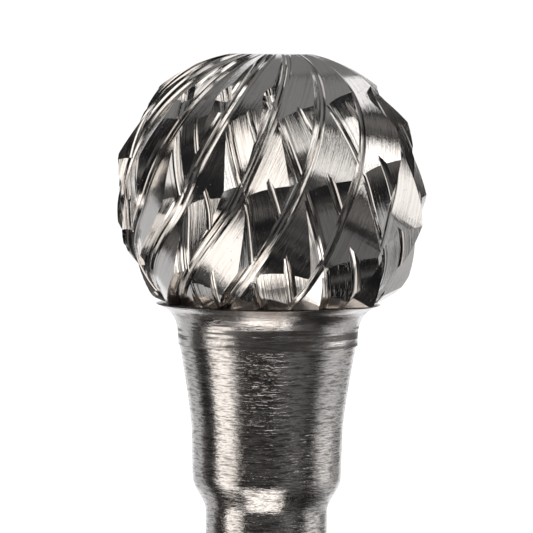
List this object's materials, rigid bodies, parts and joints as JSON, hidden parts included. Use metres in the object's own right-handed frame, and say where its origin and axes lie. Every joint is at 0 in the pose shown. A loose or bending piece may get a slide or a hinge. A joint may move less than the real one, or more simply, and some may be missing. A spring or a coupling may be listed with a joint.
{
  "type": "rotary burr",
  "caption": "Ball-shaped double-cut carbide burr for a die grinder: a fluted head brazed to a stepped steel shank.",
  "frame": {"origin": "centre of the shank's free end", "axes": "+Z along the shank towards the cutting head; azimuth 0 of the flutes faces -Y"},
  "size_m": [0.0152, 0.0155, 0.059],
  "materials": {
    "ground_carbide": "cemented tungsten carbide, bright ground facets with fine grinding lines",
    "turned_steel": "turned tool steel with fine circumferential tool marks",
    "silver_braze": "silver brazing alloy, warm grey with dark flux stains",
    "copper": "soft copper shim inside the brazed joint"
  },
  "bodies": {
    "root": {"cutting_head": "ground_carbide", "braze_film_head_side": "silver_braze", "copper_shim": "copper", "braze_film_shank_side": "silver_braze", "braze_fillet": "silver_braze", "shank": "turned_steel"}
  },
  "joints": []
}
